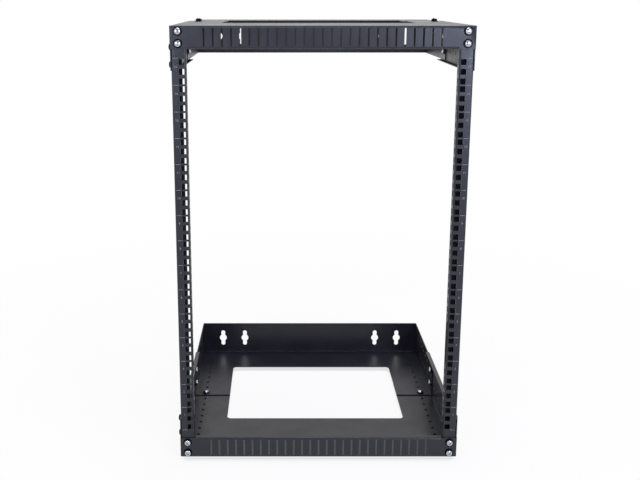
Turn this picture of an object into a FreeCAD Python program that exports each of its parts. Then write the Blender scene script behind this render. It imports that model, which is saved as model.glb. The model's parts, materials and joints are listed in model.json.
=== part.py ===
import FreeCAD, Part
import math
import os
import Sketcher

# Wall mount open frame rack: 15 rack units high, 19 inch rails, adjustable in depth.
# Two telescoping trays, one below and one above, each of a front half that carries the
# posts and a rear half that is screwed to the wall, and two perforated C posts between them.
# Millimetres. +X is to the right seen from the front, +Y points into the wall, +Z is up.
# The origin lies on the wall plane, on the centre line, half way up.
# Turning the rack half a turn about the Y axis gives the same rack, so the upper trays
# and the left post are the lower trays and the right post turned over.

SIZES = [
    # name, millimetres or a count, what it is
    ("rackUnits", 15, "height of the equipment space, in units"),
    ("unitPitch", 44.45, "one rack unit"),
    ("topHoleDrop", 6.35, "from the top of a unit to its first hole"),
    ("middleHoleDrop", 22.225, "from the top of a unit to its second hole"),
    ("lowHoleDrop", 38.1, "from the top of a unit to its third hole"),
    ("zoneMargin", 52.875, "from the equipment space to the outer face of a tray"),
    ("railSpacing", 465.1, "between the two columns of square holes"),
    ("squareHole", 9.5, "side of a square hole"),
    ("trayWidth", 501.5, "overall width of the front trays"),
    ("traySheet", 1.5, "steel of the trays"),
    ("postSheet", 2.0, "steel of the posts"),
    ("bendRadius", 1.0, "inside radius of the folds of the trays"),
    ("cornerSlit", 0.5, "gap between two folded walls at a corner"),
    ("seatGap", 0.1, "paint between two parts that are screwed together"),
    ("slideGap", 0.3, "play between the front and rear trays"),
    ("frontTrayDepth", 304.0, "front tray, lip to back end"),
    ("frontWallHeight", 76.2, "side walls of the front tray"),
    ("flangeWidth", 8.5, "inward flange on the side walls of the front tray"),
    ("lipHeight", 38.1, "front lip"),
    ("hemDepth", 9.0, "folded back edge of the front lip"),
    ("hemWidth", 446.0, "length of the folded back edge, between the posts"),
    ("hemRelief", 1.0, "notch at each end of the folded back edge"),
    ("slotCount", 27, "vent slots in a lip"),
    ("slotPitch", 15.0, "between two vent slots"),
    ("slotWidth", 3.0, "vent slot"),
    ("slotLength", 30.0, "vent slot"),
    ("rearTrayDepth", 233.0, "rear tray, front end to the wall"),
    ("rearWallHeight", 71.0, "walls and wall panel of the rear tray"),
    ("cutoutWidth", 350.0, "cable opening in the floor"),
    ("cutoutFront", 147.5, "from the lip to the cable opening"),
    ("cutoutBack", 90.0, "from the wall to the cable opening"),
    ("cutoutRadius", 8.0, "corners of the cable opening"),
    ("holePitch", 25.4, "between two positions of the depth setting"),
    ("frontHoleCount", 9, "depth holes in a row of the front tray"),
    ("rearHoleCount", 7, "depth holes in a row of the rear tray"),
    ("holesInFront", 7, "empty holes of the front tray before the one in use"),
    ("firstHoleSetback", 82.3, "from the lip to the first depth hole"),
    ("rearHoleSetback", 10.5, "from the end of the rear tray to its first hole"),
    ("floorRowOffset", 226.0, "depth holes in the floor, from the centre line"),
    ("lowRowHeight", 26.0, "lower row of depth holes in the side walls"),
    ("highRowHeight", 55.0, "upper row of depth holes in the side walls"),
    ("screwHole", 6.6, "clearance hole for the screws, across its corners"),
    ("keyholeNear", 152.4, "inner wall screws, from the centre line"),
    ("keyholeFar", 203.2, "outer wall screws, from the centre line"),
    ("keyholeRound", 16.0, "round middle of a keyhole"),
    ("keyholeSlot", 9.4, "slot of a keyhole"),
    ("keyholeLength", 36.0, "keyhole, end to end"),
    ("postFace", 24.2, "front face of a post"),
    ("postDepth", 40.0, "outer flange of a post"),
    ("postInnerFlange", 15.0, "inner flange of a post"),
    ("postReturn", 14.0, "flange at the back of a post"),
    ("postBendRadius", 0.8, "inside radius of the folds of the posts"),
    ("sideHoleSetback", 4.5, "from the front of a post to the openings in its inner flange"),
    ("sideHoleDepth", 7.0, "openings in the inner flange, front to back"),
    ("lipScrewOffset", 237.5, "lip screws, from the centre line"),
    ("lipScrewLow", 9.0, "first lip screw, from the outer face of the tray"),
    ("lipScrewHigh", 29.0, "second lip screw, from the outer face of the tray"),
    ("sideScrewSetback", 27.0, "side screws of a post, from the lip"),
    ("sideScrewLow", 36.0, "first side screw, from the outer face of the tray"),
    ("sideScrewHigh", 65.0, "second side screw, from the outer face of the tray"),
    ("screwSize", 6.0, "thread of all screws"),
    ("screwLength", 12.0, "under the head"),
    ("headDiameter", 12.0, "pan head"),
    ("headHeight", 3.9, "pan head"),
    ("headTaper", 20.0, "lean of the side of the pan head, in degrees"),
    ("washerDiameter", 15.0, "plain washer"),
    ("washerHole", 6.4, "plain washer"),
    ("washerThickness", 1.2, "plain washer"),
    ("nutFlats", 10.0, "across the flats of a nut"),
    ("nutHeight", 5.0, "nut"),
    ("nutFlangeDiameter", 13.6, "foot of a flange nut"),
    ("nutFlangeHeight", 1.4, "foot of a flange nut"),
]


class Size:
    """A number, with the spreadsheet expression that gives it."""

    def __init__(self, text, number):
        self.text = text
        self.number = number

    def joined(self, sign, other, number):
        text = other.text if isinstance(other, Size) else repr(other)
        return Size("(%s %s %s)" % (self.text, sign, text), number)

    def __add__(self, other):
        return self.joined("+", other, self.number + plain(other))

    def __sub__(self, other):
        return self.joined("-", other, self.number - plain(other))

    def __mul__(self, other):
        return self.joined("*", other, self.number * plain(other))

    def __truediv__(self, other):
        return self.joined("/", other, self.number / plain(other))

    def __neg__(self):
        return Size("(-1 * %s)" % self.text, -self.number)


def plain(value):
    return value.number if isinstance(value, Size) else value


def sameSize(value):
    return value if isinstance(value, Size) else Size(repr(value), value)


def bind(target, path, value):
    target.setExpression(path, sameSize(value).text)


# The spreadsheet and its values

document = FreeCAD.newDocument("WallMountRack")
sheet = document.addObject("Spreadsheet::Sheet", "Sizes")
size = {}
for row, (name, number, note) in enumerate(SIZES, start=1):
    sheet.set("A%d" % row, name)
    sheet.set("B%d" % row, str(number))
    sheet.set("C%d" % row, note)
    sheet.setAlias("B%d" % row, name)
    size[name] = Size("Sizes.%s" % name, number)
document.recompute()

# Sizes and places that follow from the driving ones

rackHeight = size["rackUnits"] * size["unitPitch"] + size["zoneMargin"] * 2
zoneTop = size["rackUnits"] * size["unitPitch"] / 2
base = -(rackHeight / 2)
stationSetback = size["firstHoleSetback"] + size["holesInFront"] * size["holePitch"]
stationFromWall = size["rearTrayDepth"] - size["rearHoleSetback"]
rackDepth = stationSetback + stationFromWall
front = -rackDepth
frontTrayBack = front + size["frontTrayDepth"]
halfWidth = size["trayWidth"] / 2
bendOuter = size["bendRadius"] + size["traySheet"]
rearBase = base + size["traySheet"] + size["slideGap"]
rearHalfWidth = halfWidth - size["traySheet"] - size["slideGap"]
postOuter = halfWidth - size["traySheet"] - size["seatGap"]
postInner = postOuter - size["postFace"]
postFront = front + size["traySheet"] + size["seatGap"]
postBack = postFront + size["postDepth"]
CUT_MARGIN = 1.0    # how far a cut reaches past the sheet on each side
ROUND_SIDES = 8     # small round forms have this many flats, with their corners on the circle
KEYHOLE_SIDES = 16  # the same for the middle of a keyhole
NUT_SIDES = 6
THREAD_PLAY = 0.2   # across the corners, between a plain shank and a plain nut


# Sketches

def vector(point):
    return FreeCAD.Vector(plain(point[0]), plain(point[1]), 0)


def addSketch(body, name, role, offset=0.0):
    """A sketch on one of the body's own planes, moved along the plane's normal."""
    sketch = body.newObject("Sketcher::SketchObject", name)
    plane = [feature for feature in body.Origin.OriginFeatures if feature.Role == role][0]
    sketch.AttachmentSupport = [(plane, "")]
    sketch.MapMode = "FlatFace"
    bind(sketch, "AttachmentOffset.Base.z", offset)
    return sketch


def hold(sketch, geometry, point, across=None, up=None):
    """Tie a point's place, measured from the sketch's origin, to the spreadsheet."""
    for kind, value in (("DistanceX", across), ("DistanceY", up)):
        if value is not None:
            constraint = Sketcher.Constraint(kind, -1, 1, geometry, point, float(plain(value)))
            bind(sketch, "Constraints[%d]" % sketch.addConstraint(constraint), value)


def join(sketch, first, second):
    sketch.addConstraint(Sketcher.Constraint("Coincident", *first, *second))


def heading(start, end):
    step = plain(end) - plain(start)
    return 0 if abs(step) < 1e-9 else (1 if step > 0 else -1)


def addBend(sketch, before, corner, after):
    """The arc of a rounded corner between a level and an upright line. Gives the points
    where the outline arrives and leaves, each with its place."""
    across, up, radius = corner
    inward = (heading(before[0], across), heading(before[1], up))
    outward = (heading(across, after[0]), heading(up, after[1]))
    arrive = (across - radius * inward[0], up - radius * inward[1])
    leave = (across + radius * outward[0], up + radius * outward[1])
    centre = (arrive[0] + radius * outward[0], arrive[1] + radius * outward[1])
    turnsLeft = inward[0] * outward[1] - inward[1] * outward[0] > 0
    first, last = (arrive, leave) if turnsLeft else (leave, arrive)
    angle = math.atan2(plain(first[1]) - plain(centre[1]), plain(first[0]) - plain(centre[0]))
    circle = Part.Circle(vector(centre), FreeCAD.Vector(0, 0, 1), radius.number)
    arc = sketch.addGeometry(Part.ArcOfCircle(circle, angle, angle + math.pi / 2), False)
    hold(sketch, arc, 1, *first)
    hold(sketch, arc, 2, *last)
    hold(sketch, arc, 3, centre[0])
    return ((arc, 1 if turnsLeft else 2), arrive), ((arc, 2 if turnsLeft else 1), leave)


def addOutline(sketch, corners):
    """A closed outline. A corner is (across, up), or (across, up, radius) where a level
    and an upright line meet in an arc."""
    count = len(corners)
    bends = []
    for index, corner in enumerate(corners):
        if len(corner) == 3:
            after = corners[(index + 1) % count]
            bends.append(addBend(sketch, corners[index - 1], corner, after))
        else:
            bends.append(None)
    lines = []
    for index, corner in enumerate(corners):
        following = (index + 1) % count
        start = bends[index][1][1] if bends[index] else corner
        end = bends[following][0][1] if bends[following] else corners[following]
        lines.append(sketch.addGeometry(Part.LineSegment(vector(start), vector(end)), False))
    for index, corner in enumerate(corners):
        if bends[index]:
            join(sketch, (lines[index - 1], 2), bends[index][0][0])
            join(sketch, (lines[index], 1), bends[index][1][0])
        else:
            join(sketch, (lines[index - 1], 2), (lines[index], 1))
            hold(sketch, lines[index], 1, *corner)


def addRectangle(sketch, middle, width, height):
    left, right = middle[0] - width / 2, middle[0] + width / 2
    low, high = middle[1] - height / 2, middle[1] + height / 2
    addOutline(sketch, [(left, low), (right, low), (right, high), (left, high)])


def addRound(sketch, middle, diameter, sides=ROUND_SIDES, length=None):
    """A small round form, or an upright one with round ends, drawn with flats. Its corners
    lie on the circle, and one flat faces each side."""
    reach = (length - diameter) / 2 if length else 0.0
    corners = []
    for side in range(sides):
        turn = 2 * math.pi * (side + 0.5) / sides
        across = diameter * (math.cos(turn) / 2) + middle[0]
        up = diameter * (math.sin(turn) / 2) + middle[1]
        if length:
            up = up + reach if side < sides / 2 else up - reach
        corners.append((across, up))
    addOutline(sketch, corners)


# Features

def addPad(body, sketch, length, symmetric=False, backward=False):
    pad = body.newObject("PartDesign::Pad", sketch.Name + "Pad")
    pad.Profile = sketch
    pad.SideType = "Symmetric" if symmetric else "One side"
    pad.Reversed = backward
    bind(pad, "Length", length)
    return pad


def addThroughCut(body, sketch):
    """A cut along the sketch's normal, both ways, through all that lies there."""
    cut = body.newObject("PartDesign::Pocket", sketch.Name + "Cut")
    cut.Profile = sketch
    cut.Type = "ThroughAll"
    cut.SideType = "Symmetric"
    return cut


def addBlindCut(body, sketch, depth, along=False):
    """A cut of a set depth, against the sketch's normal or along it."""
    cut = body.newObject("PartDesign::Pocket", sketch.Name + "Cut")
    cut.Profile = sketch
    cut.Reversed = along
    bind(cut, "Length", depth)
    return cut


def addRow(body, cut, role, pitch, count, backward=False):
    """Repeat a cut along one of the body's own axes."""
    row = body.newObject("PartDesign::LinearPattern", cut.Name + "Row")
    row.Originals = [cut]
    axis = [feature for feature in body.Origin.OriginFeatures if feature.Role == role][0]
    row.Direction = (axis, [""])
    row.Reversed = backward
    bind(row, "Length", pitch * (count - 1))
    bind(row, "Occurrences", count)
    body.Tip = row
    return row


def newBody(label, turned=False):
    """A body, turned over about the Y axis or not."""
    body = document.addObject("PartDesign::Body", "Body_" + label)
    body.Label = label
    if turned:
        body.Placement = TURNED
    return body


TURNED = FreeCAD.Placement(FreeCAD.Vector(), FreeCAD.Rotation(FreeCAD.Vector(0, 1, 0), 180))


# The front tray: a folded channel with flanged walls, a slotted lip and rows of depth holes

def makeFrontTray(label, turned):
    body = newBody(label, turned)
    metal = size["traySheet"]
    bend = size["bendRadius"]

    lipTop = base + size["lipHeight"]
    lipShoulder = lipTop - bendOuter * 2
    lipRoot = front + bendOuter + metal
    lip = addSketch(body, label + "_lip", "YZ_Plane")
    addOutline(lip, [
        (front, base, bendOuter),
        (lipRoot, base),
        (lipRoot, base + metal),
        (front + metal, base + metal, bend),
        (front + metal, lipShoulder),
        (front, lipShoulder),
    ])
    addPad(body, lip, size["trayWidth"], symmetric=True)

    hem = addSketch(body, label + "_hem", "YZ_Plane")
    addOutline(hem, [
        (front, lipShoulder),
        (front + metal, lipShoulder),
        (front + metal, lipTop - metal, bend),
        (front + size["hemDepth"], lipTop - metal),
        (front + size["hemDepth"], lipTop),
        (front, lipTop, bendOuter),
    ])
    addPad(body, hem, size["hemWidth"], symmetric=True)

    shoulders = addSketch(body, label + "_shoulders", "XZ_Plane", -front)
    plainEnd = size["hemWidth"] / 2 + size["hemRelief"]
    for side in (1, -1):
        near, far = plainEnd * side, halfWidth * side
        addOutline(shoulders, [(near, lipShoulder), (far, lipShoulder), (far, lipTop), (near, lipTop)])
    addPad(body, shoulders, metal, backward=True)

    channelFront = front + metal + size["cornerSlit"]
    channel = addSketch(body, label + "_channel", "XZ_Plane", -frontTrayBack)
    wallTop = base + size["frontWallHeight"]
    flangeEdge = halfWidth - size["flangeWidth"]
    inside = halfWidth - metal
    addOutline(channel, [
        (-halfWidth, base, bendOuter),
        (halfWidth, base, bendOuter),
        (halfWidth, wallTop, bendOuter),
        (flangeEdge, wallTop),
        (flangeEdge, wallTop - metal),
        (inside, wallTop - metal, bend),
        (inside, base + metal, bend),
        (-inside, base + metal, bend),
        (-inside, wallTop - metal, bend),
        (-flangeEdge, wallTop - metal),
        (-flangeEdge, wallTop),
        (-halfWidth, wallTop, bendOuter),
    ])
    addPad(body, channel, frontTrayBack - channelFront)

    flangeStart = postBack + metal
    notch = addSketch(body, label + "_post_notch", "YZ_Plane")
    notchTop = wallTop + CUT_MARGIN
    addOutline(notch, [
        (front - CUT_MARGIN, wallTop - bendOuter),
        (flangeStart, wallTop - bendOuter),
        (flangeStart, notchTop),
        (front - CUT_MARGIN, notchTop),
    ])
    addThroughCut(body, notch)

    opening = addSketch(body, label + "_opening", "XY_Plane")
    openingFront = front + size["cutoutFront"]
    openingSide = size["cutoutWidth"] / 2
    openingEnd = frontTrayBack + CUT_MARGIN
    addOutline(opening, [
        (-openingSide, openingEnd),
        (-openingSide, openingFront, size["cutoutRadius"]),
        (openingSide, openingFront, size["cutoutRadius"]),
        (openingSide, openingEnd),
    ])
    addThroughCut(body, opening)

    firstHole = front + size["firstHoleSetback"]
    cutDepthHoles(body, label, firstHole, size["frontHoleCount"])

    slots = addSketch(body, label + "_slots", "XZ_Plane")
    firstSlot = -(size["slotPitch"] * (size["slotCount"] - 1) / 2)
    slotMiddle = (firstSlot, base + size["lipHeight"] / 2)
    addRectangle(slots, slotMiddle, size["slotWidth"], size["slotLength"])
    addRow(body, addThroughCut(body, slots), "X_Axis", size["slotPitch"], size["slotCount"])

    lipHoles = addSketch(body, label + "_lip_holes", "XZ_Plane")
    for side in (1, -1):
        for height in (size["lipScrewLow"], size["lipScrewHigh"]):
            addRound(lipHoles, (size["lipScrewOffset"] * side, base + height), size["screwHole"])
    addThroughCut(body, lipHoles)

    postHoles = addSketch(body, label + "_post_holes", "YZ_Plane")
    for height in (size["sideScrewLow"], size["sideScrewHigh"]):
        addRound(postHoles, (front + size["sideScrewSetback"], base + height), size["screwHole"])
    addThroughCut(body, postHoles)
    return body


def cutDepthHoles(body, label, firstHole, count):
    """The rows of holes that set the depth: one each side in the floor, two in each wall."""
    floorHoles = addSketch(body, label + "_floor_holes", "XY_Plane")
    for side in (1, -1):
        addRound(floorHoles, (size["floorRowOffset"] * side, firstHole), size["screwHole"])
    addRow(body, addThroughCut(body, floorHoles), "Y_Axis", size["holePitch"], count)

    wallHoles = addSketch(body, label + "_wall_holes", "YZ_Plane")
    for height in (size["lowRowHeight"], size["highRowHeight"]):
        addRound(wallHoles, (firstHole, base + height), size["screwHole"])
    addRow(body, addThroughCut(body, wallHoles), "Y_Axis", size["holePitch"], count)


# The rear tray: it lies inside the front tray and carries the wall panel with its keyholes

WALL = Size("0", 0.0)   # where the rear panels touch the wall, in Y


def makeRearTray(label, turned):
    body = newBody(label, turned)
    metal = size["traySheet"]
    bend = size["bendRadius"]
    top = rearBase + size["rearWallHeight"]
    rearFront = -size["rearTrayDepth"]

    panel = addSketch(body, label + "_panel", "YZ_Plane")
    panelRoot = -(bendOuter + metal)
    addOutline(panel, [
        (panelRoot, rearBase),
        (WALL, rearBase, bendOuter),
        (WALL, top),
        (-metal, top),
        (-metal, rearBase + metal, bend),
        (panelRoot, rearBase + metal),
    ])
    addPad(body, panel, rearHalfWidth * 2, symmetric=True)

    channelBack = -(metal + size["cornerSlit"])
    channel = addSketch(body, label + "_channel", "XZ_Plane", -channelBack)
    inside = rearHalfWidth - metal
    addOutline(channel, [
        (-rearHalfWidth, rearBase, bendOuter),
        (rearHalfWidth, rearBase, bendOuter),
        (rearHalfWidth, top),
        (inside, top),
        (inside, rearBase + metal, bend),
        (-inside, rearBase + metal, bend),
        (-inside, top),
        (-rearHalfWidth, top),
    ])
    addPad(body, channel, channelBack - rearFront)

    opening = addSketch(body, label + "_opening", "XY_Plane")
    openingSide = size["cutoutWidth"] / 2
    openingBack = -size["cutoutBack"]
    openingEnd = rearFront - CUT_MARGIN
    addOutline(opening, [
        (-openingSide, openingEnd),
        (openingSide, openingEnd),
        (openingSide, openingBack, size["cutoutRadius"]),
        (-openingSide, openingBack, size["cutoutRadius"]),
    ])
    addThroughCut(body, opening)

    firstHole = rearFront + size["rearHoleSetback"]
    cutDepthHoles(body, label, firstHole, size["rearHoleCount"])

    keyholeMiddle = rearBase + size["rearWallHeight"] / 2
    rounds = addSketch(body, label + "_keyhole_rounds", "XZ_Plane")
    keyholeSlots = addSketch(body, label + "_keyhole_slots", "XZ_Plane")
    for side in (1, -1):
        for offset in (size["keyholeNear"], size["keyholeFar"]):
            middle = (offset * side, keyholeMiddle)
            addRound(rounds, middle, size["keyholeRound"], KEYHOLE_SIDES)
            addRound(keyholeSlots, middle, size["keyholeSlot"], length=size["keyholeLength"])
    addThroughCut(body, rounds)
    addThroughCut(body, keyholeSlots)
    return body


# The post: a folded C section with square holes in front and openings beside them

def makePost(label, turned):
    body = newBody(label, turned)
    metal = size["postSheet"]
    bend = size["postBendRadius"]
    outer = bend + metal

    section = addSketch(body, label + "_section", "XY_Plane")
    innerEnd = postFront + size["postInnerFlange"]
    returnEdge = postOuter - size["postReturn"]
    addOutline(section, [
        (postInner, innerEnd),
        (postInner, postFront, outer),
        (postOuter, postFront, outer),
        (postOuter, postBack, outer),
        (returnEdge, postBack),
        (returnEdge, postBack - metal),
        (postOuter - metal, postBack - metal, bend),
        (postOuter - metal, postFront + metal, bend),
        (postInner + metal, postFront + metal, bend),
        (postInner + metal, innerEnd),
    ])
    length = rackHeight - (size["traySheet"] + size["bendRadius"]) * 2
    addPad(body, section, length, symmetric=True)

    drops = (size["topHoleDrop"], size["middleHoleDrop"], size["lowHoleDrop"])
    column = size["railSpacing"] / 2
    squares = addSketch(body, label + "_squares", "XZ_Plane", -(postFront - CUT_MARGIN))
    for drop in drops:
        addRectangle(squares, (column, zoneTop - drop), size["squareHole"], size["squareHole"])
    squareCut = addBlindCut(body, squares, metal + CUT_MARGIN * 2)
    addRow(body, squareCut, "Z_Axis", size["unitPitch"], size["rackUnits"], backward=True)

    sideHoles = addSketch(body, label + "_side_openings", "YZ_Plane", postInner - CUT_MARGIN)
    sideMiddle = postFront + size["sideHoleSetback"] + size["sideHoleDepth"] / 2
    for drop in drops:
        addRectangle(sideHoles, (sideMiddle, zoneTop - drop), size["sideHoleDepth"], size["squareHole"])
    sideCut = addBlindCut(body, sideHoles, metal + CUT_MARGIN * 2, along=True)
    addRow(body, sideCut, "Z_Axis", size["unitPitch"], size["rackUnits"], backward=True)

    lipHoles = addSketch(body, label + "_lip_holes", "XZ_Plane", -(postFront - CUT_MARGIN))
    wallHoles = addSketch(body, label + "_wall_holes", "YZ_Plane")
    for end in (1, -1):
        for height in (size["lipScrewLow"], size["lipScrewHigh"]):
            level = (base + height) * end
            addRound(lipHoles, (size["lipScrewOffset"], level), size["screwHole"])
        for height in (size["sideScrewLow"], size["sideScrewHigh"]):
            level = (base + height) * end
            addRound(wallHoles, (front + size["sideScrewSetback"], level), size["screwHole"])
    addBlindCut(body, lipHoles, metal + CUT_MARGIN * 2)
    addThroughCut(body, wallHoles)
    return body


# Screws, washers and nuts, each made once: +Z points out of the head, 0 is its seat

CENTRE = (0.0, 0.0)


def makeScrew():
    body = newBody("pattern_screw")
    shank = addSketch(body, "screw_shank", "XY_Plane")
    addRound(shank, CENTRE, size["screwSize"])
    addPad(body, shank, size["screwLength"], backward=True)
    head = addSketch(body, "screw_head", "XY_Plane")
    addRound(head, CENTRE, size["headDiameter"])
    headPad = addPad(body, head, size["headHeight"])
    bind(headPad, "TaperAngle", -size["headTaper"])
    return body


def makeWasher():
    body = newBody("pattern_washer")
    ring = addSketch(body, "washer_ring", "XY_Plane")
    addRound(ring, CENTRE, size["washerDiameter"])
    addRound(ring, CENTRE, size["washerHole"])
    addPad(body, ring, size["washerThickness"])
    return body


def makeNut(label, flanged):
    body = newBody(label)
    hexagon = addSketch(body, label + "_hexagon", "XY_Plane")
    addRound(hexagon, CENTRE, size["nutFlats"] / math.cos(math.pi / NUT_SIDES), NUT_SIDES)
    addPad(body, hexagon, size["nutHeight"])
    if flanged:
        foot = addSketch(body, label + "_foot", "XY_Plane")
        addRound(foot, CENTRE, size["nutFlangeDiameter"])
        addPad(body, foot, size["nutFlangeHeight"])
    thread = addSketch(body, label + "_thread", "XY_Plane")
    addRound(thread, CENTRE, size["screwSize"] + THREAD_PLAY)
    addThroughCut(body, thread)
    return body


# Where the fasteners of the right side sit: the seat of the washer, the way the head points
# and the thickness that is clamped

class Fixing:
    def __init__(self, seat, head, grip):
        self.seat = FreeCAD.Vector(*[plain(value) for value in seat])
        self.head = FreeCAD.Vector(*head)
        self.grip = plain(grip)


def lipFixings():
    """Through the lip and the front of the post, heads in front."""
    grip = size["traySheet"] + size["seatGap"] + size["postSheet"]
    return [Fixing((size["lipScrewOffset"], front, (base + height) * end), (0, -1, 0), grip)
            for end in (1, -1) for height in (size["lipScrewLow"], size["lipScrewHigh"])]


def sideFixings():
    """Through the side wall and the outer flange of the post, heads outside."""
    grip = size["traySheet"] + size["seatGap"] + size["postSheet"]
    return [Fixing((halfWidth, front + size["sideScrewSetback"], (base + height) * end), (1, 0, 0), grip)
            for end in (1, -1) for height in (size["sideScrewLow"], size["sideScrewHigh"])]


def wallFixings():
    """Through the side walls of both trays, heads inside."""
    grip = size["traySheet"] * 2 + size["slideGap"] + size["seatGap"]
    inside = rearHalfWidth - size["traySheet"] - size["seatGap"]
    return [Fixing((inside, -stationFromWall, (base + height) * end), (-1, 0, 0), grip)
            for end in (1, -1) for height in (size["lowRowHeight"], size["highRowHeight"])]


def floorFixings():
    """Through the floors of both trays, heads inside."""
    grip = size["traySheet"] * 2 + size["slideGap"] + size["seatGap"]
    seat = rearBase + size["traySheet"] + size["seatGap"]
    return [Fixing((size["floorRowOffset"], -stationFromWall, seat * end), (0, 0, end), grip)
            for end in (1, -1)]


def placedCopies(pattern, places):
    """Copies of a pattern at (point, direction of its +Z), as one group of solids."""
    copies = []
    for point, way in places:
        turn = FreeCAD.Rotation(FreeCAD.Vector(0, 0, 1), way)
        copy = pattern.Shape.copy()
        copy.Placement = FreeCAD.Placement(point, turn)
        copies.append(copy)
    return Part.makeCompound(copies)


def addFastenerGroups(kind, fixings, nut):
    """Six nodes for one kind of joint: screws, washers and nuts, right and left."""
    washer = size["washerThickness"].number
    groups = {
        "screws": placedCopies(screwPattern, [(f.seat + f.head * washer, f.head) for f in fixings]),
        "washers": placedCopies(washerPattern, [(f.seat, f.head) for f in fixings]),
        "nuts": placedCopies(nut, [(f.seat - f.head * f.grip, -f.head) for f in fixings]),
    }
    made = []
    for side, placement in (("right", FreeCAD.Placement()), ("left", TURNED)):
        for piece, shape in groups.items():
            group = document.addObject("Part::Feature", "Group_%s_%s_%s" % (side, kind, piece))
            group.Label = "%s_%s_%s" % (side, kind, piece)
            group.Shape = shape
            group.Placement = placement
            made.append(group)
    return made


nodes = [
    makeFrontTray("bottom_front_tray", turned=False),
    makeFrontTray("top_front_tray", turned=True),
    makeRearTray("bottom_rear_tray", turned=False),
    makeRearTray("top_rear_tray", turned=True),
    makePost("right_post", turned=False),
    makePost("left_post", turned=True),
]
screwPattern = makeScrew()
washerPattern = makeWasher()
plainNutPattern = makeNut("pattern_nut", flanged=False)
flangeNutPattern = makeNut("pattern_flange_nut", flanged=True)
document.recompute()
nodes += addFastenerGroups("lip", lipFixings(), plainNutPattern)
nodes += addFastenerGroups("side", sideFixings(), plainNutPattern)
nodes += addFastenerGroups("wall_depth", wallFixings(), flangeNutPattern)
nodes += addFastenerGroups("floor_depth", floorFixings(), flangeNutPattern)
document.recompute()

# Nothing is written unless every object and every shape is sound

for item in document.Objects:
    if "Invalid" in item.State or "Error" in item.State:
        raise RuntimeError("%s did not build: %s" % (item.Label, item.State))
for node in nodes:
    if node.Shape.isNull() or not node.Shape.isValid() or not node.Shape.Solids:
        raise RuntimeError("%s has no sound shape" % node.Label)

os.makedirs("parts", exist_ok=True)
for node in nodes:
    node.Shape.exportStep("parts/%s.step" % node.Label)
    print("%-28s %3d solid(s) %12.1f mm3" % (node.Label, len(node.Shape.Solids), node.Shape.Volume))
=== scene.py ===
import json
import math

import bmesh
import bpy
from mathutils import Matrix, Vector


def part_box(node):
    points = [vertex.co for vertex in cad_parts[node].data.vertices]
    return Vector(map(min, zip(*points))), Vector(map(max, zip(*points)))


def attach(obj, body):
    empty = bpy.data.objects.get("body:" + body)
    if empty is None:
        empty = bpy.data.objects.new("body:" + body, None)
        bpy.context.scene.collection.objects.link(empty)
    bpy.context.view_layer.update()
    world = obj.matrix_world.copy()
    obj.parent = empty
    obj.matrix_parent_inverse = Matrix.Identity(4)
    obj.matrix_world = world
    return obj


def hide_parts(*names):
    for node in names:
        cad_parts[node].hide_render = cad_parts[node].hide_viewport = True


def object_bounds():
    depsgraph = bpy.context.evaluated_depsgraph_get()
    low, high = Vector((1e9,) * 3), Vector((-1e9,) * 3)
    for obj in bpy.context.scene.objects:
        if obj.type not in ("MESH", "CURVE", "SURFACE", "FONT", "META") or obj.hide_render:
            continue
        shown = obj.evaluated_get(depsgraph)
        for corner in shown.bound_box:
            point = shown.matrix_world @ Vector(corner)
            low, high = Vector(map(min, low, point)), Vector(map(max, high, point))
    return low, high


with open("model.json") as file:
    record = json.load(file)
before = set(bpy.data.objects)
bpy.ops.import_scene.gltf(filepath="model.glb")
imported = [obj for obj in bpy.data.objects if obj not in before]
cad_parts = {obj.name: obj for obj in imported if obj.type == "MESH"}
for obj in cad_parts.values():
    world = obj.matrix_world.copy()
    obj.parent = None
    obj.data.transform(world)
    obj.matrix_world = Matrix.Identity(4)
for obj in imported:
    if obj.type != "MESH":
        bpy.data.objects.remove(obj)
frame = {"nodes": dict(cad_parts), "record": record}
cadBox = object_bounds()
mm = 0.001
scene = bpy.context.scene
bodyOfNode = {node: body for body, nodes in frame["record"]["behaviour"]["bodies"].items()
              for node in nodes}

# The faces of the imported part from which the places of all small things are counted
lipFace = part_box("bottom_front_tray")[0].y
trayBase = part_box("bottom_front_tray")[0].z
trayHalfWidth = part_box("bottom_front_tray")[1].x
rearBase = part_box("bottom_rear_tray")[0].z
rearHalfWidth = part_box("bottom_rear_tray")[1].x
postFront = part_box("right_post")[0].y
print("frame loaded")

# Camera: in front of the rack, a little above its top and looking 13 degrees down.
# The shift is kept small, so that the other views stay whole.
cameraSet = {
    "place": (-0.0700, -1.9302, 0.430),
    "lookDown": 0.2222,
    "lens": 49.12,
    "sensorWidth": 36.0,
    "shift": (0.0625, -0.07),
    "nearest": 0.05,
}
cameraData = bpy.data.cameras.new("photoCamera")
cameraData.sensor_width = cameraSet["sensorWidth"]
cameraData.lens = cameraSet["lens"]
cameraData.shift_x, cameraData.shift_y = cameraSet["shift"]
cameraData.clip_start = cameraSet["nearest"]
camera = bpy.data.objects.new("photoCamera", cameraData)
camera.location = cameraSet["place"]
camera.rotation_euler = (math.pi / 2 - cameraSet["lookDown"], 0.0, 0.0)
scene.collection.objects.link(camera)
scene.camera = camera


def linear(hexText):
    channels = [int(hexText[i:i + 2], 16) / 255 for i in (1, 3, 5)]
    return [c / 12.92 if c <= 0.04045 else ((c + 0.055) / 1.055) ** 2.4 for c in channels] + [1.0]


def addNode(tree, kind, settings=None, links=None):
    node = tree.nodes.new(kind)
    for name, value in (settings or {}).items():
        if isinstance(name, int) or name in node.inputs:
            node.inputs[name].default_value = value
        else:
            setattr(node, name, value)
    for name, source in (links or {}).items():
        tree.links.new(source, node.inputs[name])
    return node


def newTree(name):
    material = bpy.data.materials.new(name)
    material.use_nodes = True
    material.node_tree.nodes.clear()
    return material, material.node_tree


def finishSize(millimetres):
    # a noise pattern of scale 1 repeats about once in a metre
    return 1.0 / (millimetres * mm)


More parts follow.
